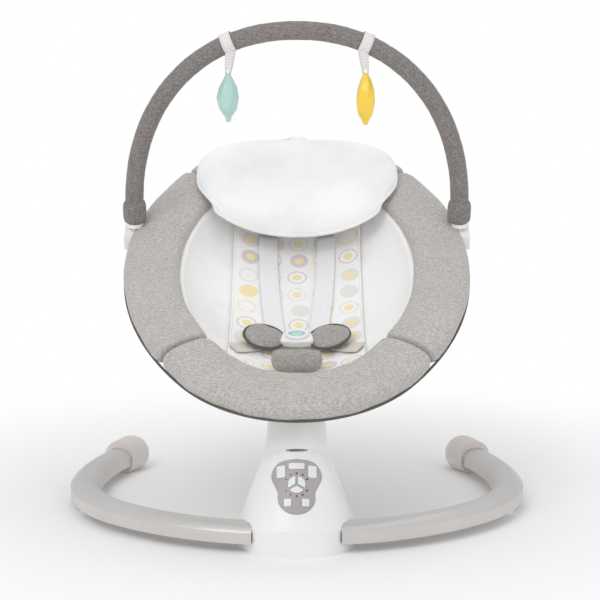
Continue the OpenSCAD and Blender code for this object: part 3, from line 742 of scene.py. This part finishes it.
for side, tag in sides:
    route = []
    for i in range(shoulder["steps"] + 1):
        share = i / shoulder["steps"]
        x = side * (shoulder["apart"] - shoulder["closing"] * share**2)
        route.append((x, shoulder["top"] - shoulder["run"] * share))
    strapMesh(f"shoulder_strap_{tag}", route, shoulder["wide"], shoulder["lift"], "web", "shoulder_straps")
    route = []
    for i in range(waist["steps"] + 1):
        share = i / waist["steps"]
        x = side * (waist["outer"] - waist["run"] * share)
        route.append((x, waist["foot"] + waist["rise"] * share))
    strapMesh(f"waist_strap_{tag}", route, waist["wide"], waist["lift"], "beige", "waist_straps")

# Buckle: a body, a ring round its press and a bar in front; the press is painted mint as a painted
# reflection on the white buckle
buckle = {"w": -94, "lift": 14, "turn": math.radians(-12), "domeSteps": 6, "domeSides": 32, "skirt": 3}
buckleRing = {"halfX": 13, "halfW": 11, "up": 5.5, "r": 2.3, "steps": 40}
buckleBar = {"half": 20, "w": -16, "bow": 3, "up": 4, "r": 2.6, "steps": 20}
buckleUp = linerTop(0, buckle["w"]) + buckle["lift"]


def inBuckle(x, w, up):
    c = math.cos(buckle["turn"])
    s = math.sin(buckle["turn"])
    return inSeat(x, buckle["w"] + w * c - up * s, buckleUp + w * s + up * c)


def domeRing(halfX, halfW, share, shape, up):
    ring = []
    for t in turns(buckle["domeSides"]):
        x = halfX * share * power(math.cos(t), shape)
        ring.append(inBuckle(x, halfW * share * power(math.sin(t), shape), up))
    return ring


def dome(name, halfX, halfW, low, high, shape, key, body="seat"):
    rows = [domeRing(halfX, halfW, 1, shape, low - buckle["skirt"])]
    for i in range(buckle["domeSteps"] + 1):
        t = math.pi / 2 * i / buckle["domeSteps"]
        share = max(0.02, math.cos(t)) ** 0.55
        rows.append(domeRing(halfX, halfW, share, shape, low + (high - low) * math.sin(t)))
    return mesh(name, *lathe(rows), key, body)


buckleBody = dome("buckle_body", 23, 17, -1, 4, 0.7, "white")
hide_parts("buckle")
ringPath = []
for i in range(buckleRing["steps"] + 1):
    t = 2 * math.pi * i / buckleRing["steps"]
    x = buckleRing["halfX"] * math.cos(t)
    ringPath.append(inBuckle(x, buckleRing["halfW"] * math.sin(t), buckleRing["up"]))
mesh("buckle_loop", *loopTube(ringPath, buckleRing["r"], 10), "white")
# Painted reflection: the press is coloured mint to stand for the teal glint on the white buckle
press = dome("buckle_press", 9, 8, 4, 7.2, 1.0, "mint", "buckle_button")
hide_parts("buckle_button")
bowPath = []
for i in range(buckleBar["steps"] + 1):
    share = i / buckleBar["steps"]
    x = -buckleBar["half"] + 2 * buckleBar["half"] * share
    w = buckleBar["w"] - buckleBar["bow"] * math.sin(math.pi * share)
    bowPath.append(inBuckle(x, w, buckleBar["up"]))
mesh("buckle_bar", *lathe(tube(bowPath, buckleBar["r"], 10, seatUp)), "white")

# Crotch pad: a petal on each side of the buckle
petal = {
    "x": 41,
    "w": -95,
    "halfX": 26,
    "halfW": 23,
    "lift": 13.5,
    "pipeLift": 14,
    "restW": -97,
    "thick": 6.5,
    "lean": 0.2,
    "lobes": 0.05,
    "groove": 1.1,
    "rows": 12,
    "sides": 48,
    "pipeSteps": 40,
    "pipeR": 1.8,
}
petalRest = linerTop(petal["x"], petal["restW"])


# A point of a petal, where reach is 1 on its plain outline
def inPetal(side, a, reach, up):
    out = petal["halfX"] * reach * math.cos(a)
    w = petal["w"] + petal["halfW"] * reach * math.sin(a)
    return inSeat(side * petal["x"] + out, w, petalRest + up + petal["lean"] * side * out)


for side, tag in sides:
    rows = []
    for i in range(petal["rows"] + 1):
        t = -math.pi / 2 + math.pi * i / petal["rows"]
        row = []
        for a in turns(petal["sides"]):
            reach = max(0.02, math.cos(t)) ** 0.6 * (1 + petal["lobes"] * math.cos(3 * a))
            groove = petal["groove"] * abs(math.cos(2.5 * a)) ** 8 * math.cos(t)
            up = petal["lift"] + petal["thick"] * math.sin(t) - (groove if t > 0 else 0)
            row.append(inPetal(side, a, reach, up))
        rows.append(row)
    petalPad = mesh(f"crotch_petal_{tag}", *lathe(rows), "pad", levels=1)
    if side > 0:
        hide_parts("crotch_pad")
    pipeTurns = [2 * math.pi * i / petal["pipeSteps"] for i in range(petal["pipeSteps"] + 1)]
    pipePath = [inPetal(side, a, 1, petal["pipeLift"]) for a in pipeTurns]
    mesh(f"petal_piping_{tag}", *loopTube(pipePath, petal["pipeR"]), "piping")

# The pad's roll in front of the buckle
roll = {
    "w": -158,
    "lift": 17.5,
    "half": 32,
    "r": 13,
    "rows": 24,
    "sides": 24,
    "ripple": 0.5,
    "ripplePitch": 4,
}
rollUp = linerTop(0, roll["w"]) + roll["lift"]
rollRows = []
for i in range(roll["rows"] + 1):
    x = -roll["half"] + 2 * roll["half"] * i / roll["rows"]
    share = (1 - abs(2 * i / roll["rows"] - 1) ** 8) ** 0.3 * 0.96 + 0.02
    thick = (roll["r"] + roll["ripple"] * math.sin(x / roll["ripplePitch"])) * share
    row = []
    for t in turns(roll["sides"]):
        row.append(inSeat(x, roll["w"] + roll["r"] * share * math.cos(t), rollUp + thick * math.sin(t)))
    rollRows.append(row)
rollPad = mesh("crotch_roll", *lathe(rollRows), "pad", levels=1)
print("harness made")

# Toy bar: a leaning arch on the seat's hubs
bar = {
    "halfW": 214,
    "high": 273,
    "from": 38,
    "squareness": 2.15,
    "lean": math.radians(12),
    "r": 12,
    "steps": 96,
    "seamOff": 0.6,
    "seamR": 1.1,
    "legR": 6,
    "legHeights": (-5, 0, 5, 10, 17),
}
knob = {
    "low": 16.6,
    "high": 30.5,
    "r": 15.4,
    "waist": 0.68,
    "gathers": 11,
    "gatherDepth": 0.06,
    "rows": 14,
    "sides": 48,
}
forward = Vector((0, -math.cos(bar["lean"]), -math.sin(bar["lean"])))
hubX, hubW = oval(seat["hubF"], seat["band"] / 2)[:2]
hubWorld = inSeat(hubX, hubW, 0)


def barPoint(t):
    x = bar["halfW"] * power(math.cos(t), 2 / bar["squareness"])
    rise = max(0, math.sin(t)) ** (2 / bar["squareness"])
    return inBar(x, bar["from"] + (bar["high"] - bar["from"]) * rise)


def inBar(x, h, out=0.0):
    c = math.cos(bar["lean"])
    s = math.sin(bar["lean"])
    return Vector((x, hubWorld.y - h * s - out * c, hubWorld.z + h * c - out * s))


def barSwell(share):
    return bar["r"] * (1 + 0.012 * math.sin(share * 260) + 0.01 * math.sin(share * 91))


barPath = [barPoint(math.radians(180 * i / bar["steps"])) for i in range(bar["steps"] + 1)]
cover = mesh("bar_sleeve", *lathe(tube(barPath, barSwell, 18, forward)), "bar", "toy_bar")
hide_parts("bar_cover", "bar_tube")
seamPath = [spot - forward * (bar["r"] + bar["seamOff"]) for spot in barPath]
mesh("bar_seam", *lathe(tube(seamPath, bar["seamR"], 6, forward)), "piping", "toy_bar")
for side, tag in sides:
    rows = []
    for i in range(knob["rows"] + 1):
        h = knob["low"] + knob["high"] * i / knob["rows"]
        k = (1 - abs(2 * i / knob["rows"] - 1) ** 4) ** 0.5 * (1 - knob["waist"]) + knob["waist"]
        row = []
        for t in turns(knob["sides"]):
            gather = knob["gatherDepth"] * math.cos(knob["gathers"] * t + h / 9) * (1.2 - k)
            r = knob["r"] * k * (1 + gather)
            row.append(inBar(side * bar["halfW"] + r * math.cos(t), h, r * math.sin(t)))
        rows.append(row)
    knobPad = mesh(f"bar_knob_{tag}", *lathe(rows), "bar", "toy_bar")
    if side > 0:
        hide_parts("bar_knobs")
    leg = [inBar(side * bar["halfW"], h) for h in bar["legHeights"]]
    mesh(f"bar_leg_{tag}", *lathe(tube(leg, bar["legR"], 16, forward)), "silver", "toy_bar")
print("toy bar made")

# Hanging toys: each outline is a list of heights and radii
toys = {
    "left_toy": {
        "key": "mint",
        "facets": 7,
        "outline": [(0, 3), (6, 4.5), (16, 12), (30, 15), (44, 12), (54, 6.5), (60, 3.2), (62, 1.5)],
    },
    "right_toy": {
        "key": "yellow",
        "facets": 6,
        "outline": [(0, 2.5), (5, 4.5), (14, 10), (29, 13.3), (44, 11.3), (57, 7), (64, 3.4), (66, 1.5)],
    },
}
toySides = 42
toyTwist = 60
bead = {"r": 3, "up": 2, "rows": 8, "sides": 16}
ribbon = {
    "r": 13.6,
    "open": 128,
    "steps": 48,
    "plySteps": 10,
    "apart": 0.35,
    "thick": 0.5,
    "halfFoot": 3.5,
    "halfMore": 3.7,
    "across": (-1, -0.4, 0.4, 1),
}


# Three rows to each stretch of the outline
def outlineSpots(outline):
    spots = []
    for a, b in zip(outline, outline[1:]):
        for part in (0, 1, 2):
            spots.append((a[0] + (b[0] - a[0]) * part / 3, a[1] + (b[1] - a[1]) * part / 3))
    return spots + [outline[-1]]


def toyRows(spots, facets, mid, lowZ):
    rows = []
    for h, r in spots:
        row = []
        for t in turns(toySides):
            off = t % (2 * math.pi / facets) - math.pi / facets
            flat = math.cos(math.pi / facets) / math.cos(off)
            x = mid.x + r * (0.3 + 0.7 * flat) * math.cos(t + h / toyTwist)
            row.append((x, mid.y + r * flat * math.sin(t + h / toyTwist), lowZ + h))
        rows.append(row)
    return rows


def beadRows(mid, z):
    rows = []
    for i in range(1, bead["rows"]):
        r = bead["r"] * math.sin(math.pi * i / bead["rows"])
        up = z - bead["r"] * math.cos(math.pi * i / bead["rows"])
        rows.append([(mid.x + r * math.cos(t), mid.y + r * math.sin(t), up) for t in turns(bead["sides"])])
    return rows


# The ribbon's middle line, its direction across and how far it is spread, up, round the bar and down
def ribbonRoute(foot, ringMid, along):
    topOut = along.cross(forward).normalized()
    if topOut.z < 0:
        topOut = -topOut
    ring = []
    for i in range(ribbon["steps"] + 1):
        t = math.radians(-ribbon["open"] + 2 * ribbon["open"] * i / ribbon["steps"])
        ring.append(ringMid + ribbon["r"] * (math.cos(t) * topOut + math.sin(t) * forward))
    level = Vector((1, 0, 0))
    rising = []
    falling = []
    for k in range(ribbon["plySteps"]):
        share = k / ribbon["plySteps"]
        rising.append((foot.lerp(ring[0], share), level.lerp(along, share**2), share))
        share = (k + 1) / ribbon["plySteps"]
        falling.append((ring[-1].lerp(foot, share), along.lerp(level, share**0.5), 1 - share))
    return rising + [(spot, along, 1.0) for spot in ring] + falling


for node, toySet in toys.items():
    low, high = [corner * 1000 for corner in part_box(node)]
    mid = (low + high) / 2
    topZ = low.z + toySet["outline"][-1][0]
    rows = toyRows(outlineSpots(toySet["outline"]), toySet["facets"], mid, low.z)
    toy = mesh(f"{node}_body", *lathe(rows), toySet["key"], node)
    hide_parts(node)
    mesh(f"{node}_bead", *lathe(beadRows(mid, topZ + bead["up"])), "white", node)
    index = min(range(len(barPath)), key=lambda i: abs(barPath[i].x - mid.x))
    ringMid = barPath[index]
    along = (barPath[index + 1] - barPath[index - 1]).normalized()
    if along.x < 0:
        along = -along
    route = ribbonRoute(Vector((mid.x, mid.y, topZ - 2)), ringMid, along)
    lowRows = []
    highRows = []
    for i, (spot, across, spread) in enumerate(route):
        half = ribbon["halfFoot"] + ribbon["halfMore"] * spread**0.8
        shift = Vector((0, ribbon["apart"] if i > len(route) / 2 else -ribbon["apart"], 0))
        away = (spot - ringMid).normalized() * ribbon["thick"]
        row = [spot + shift + across.normalized() * half * u for u in ribbon["across"]]
        lowRows.append(row)
        highRows.append([point + away for point in row])
    tape = mesh(f"{node}_ribbon", *slab(lowRows, highRows), "ribbon", node)
print("toys made")

# Hard pieces keep the CAD shapes
hardPieces = {
    "white": (
        "housing_front housing_rear battery_door neck_front neck_rear "
        "left_hub right_hub bar_clips front_feet"
    ),
    "cap": "left_rear_cap right_rear_cap",
    "panel": "control_panel base_plate seat_bracket",
    "button": (
        "button_power button_music button_timer button_left button_right "
        "button_down button_minus button_plus"
    ),
    "lens": "led_lenses",
    "silver": "left_tube right_tube cradle_tube front_hoop rear_hoop",
    "steel": "base_screws lower_bearing upper_bearing pivot_shaft recline_axle swing_arm",
    "dark": "bearing_frame battery_box speaker power_inlet drive_magnet",
    "board": "control_board",
    "copper": "drive_coil",
    "cell": "battery_cells",
}
for key, names in hardPieces.items():
    for name in names.split():
        dress(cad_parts[name], key)
print("hard pieces dressed")

# Floor: it turns to pure white away from the object, so that no edge shows
floorSet = {"size": 30, "whiteFrom": 0.2, "whiteTo": 0.8, "rough": 0.9}
floorLook = Look("floor_white", "floor", **{"Specular IOR Level": 0.0, "Roughness": floorSet["rough"]})
x, y = floorLook.axes()[:2]
far = (x * x + y * y).maths("SQRT").step(floorSet["whiteFrom"], floorSet["whiteTo"])
floorLook.link("Base Color", floorLook.mix(far, linear(250, 249, 248), linear(254, 254, 254)))
emission = floorLook.add("ShaderNodeEmission", None, {"Color": (1, 1, 1, 1)})[0]
blend = floorLook.add("ShaderNodeMixShader", None, [far, floorLook.shader.outputs[0], emission])[0]
output = next(n for n in floorLook.tree.nodes if n.type == "OUTPUT_MATERIAL")
floorLook.tree.links.new(blend.item, output.inputs[0])
bpy.ops.mesh.primitive_plane_add(size=floorSet["size"], location=(0, 0, 0))
floor = bpy.context.object
floor.name = "floor_plane"
floor.data.materials.append(floorLook.material)

# World: pure white to the camera, a softer light to everything else
room = {"seen": (1, 1, 1, 1), "ambient": (0.97, 0.98, 1, 1), "strength": 0.63}
world = bpy.data.worlds.new("white_room")
bpy.context.scene.world = world
world.use_nodes = True
tree = world.node_tree
tree.nodes.clear()
output = tree.nodes.new("ShaderNodeOutputWorld")
seen = tree.nodes.new("ShaderNodeBackground")
seen.inputs[0].default_value = room["seen"]
ambient = tree.nodes.new("ShaderNodeBackground")
ambient.inputs[0].default_value = room["ambient"]
ambient.inputs[1].default_value = room["strength"]
rays = tree.nodes.new("ShaderNodeLightPath")
blend = tree.nodes.new("ShaderNodeMixShader")
tree.links.new(rays.outputs["Is Camera Ray"], blend.inputs[0])
tree.links.new(ambient.outputs[0], blend.inputs[1])
tree.links.new(seen.outputs[0], blend.inputs[2])
tree.links.new(blend.outputs[0], output.inputs[0])

lamps = {
    "key_light": {"spot": (-1.1, -1.6, 2.1), "size": 1.3, "watts": 17},
    "fill_light": {"spot": (1.5, -1.4, 1.2), "size": 1.4, "watts": 5},
    "top_light": {"spot": (0.2, 0.5, 2.3), "size": 1.6, "watts": 7.5},
}
lampAim = Vector((0, 0, 0.27))
for name, lampSet in lamps.items():
    lamp = bpy.data.lights.new(name, "AREA")
    lamp.energy = lampSet["watts"]
    lamp.size = lampSet["size"]
    holder = bpy.data.objects.new(name, lamp)
    holder.location = lampSet["spot"]
    holder.rotation_euler = (lampAim - Vector(lampSet["spot"])).to_track_quat("-Z", "Y").to_euler()
    bpy.context.scene.collection.objects.link(holder)

view = {"distance": 2.2, "lift": math.radians(9), "aim": Vector((0.004, -0.037, 0.266)), "angle": 19.65}
cameraData = bpy.data.cameras.new("camera")
cameraData.angle = math.radians(view["angle"])
camera = bpy.data.objects.new("camera", cameraData)
outwards = Vector((0, -math.cos(view["lift"]), math.sin(view["lift"])))
camera.location = view["aim"] + view["distance"] * outwards
camera.rotation_euler = (view["aim"] - camera.location).to_track_quat("-Z", "Y").to_euler()
bpy.context.scene.collection.objects.link(camera)
bpy.context.scene.camera = camera
bpy.context.scene.view_settings.view_transform = "Standard"
print("stage made")
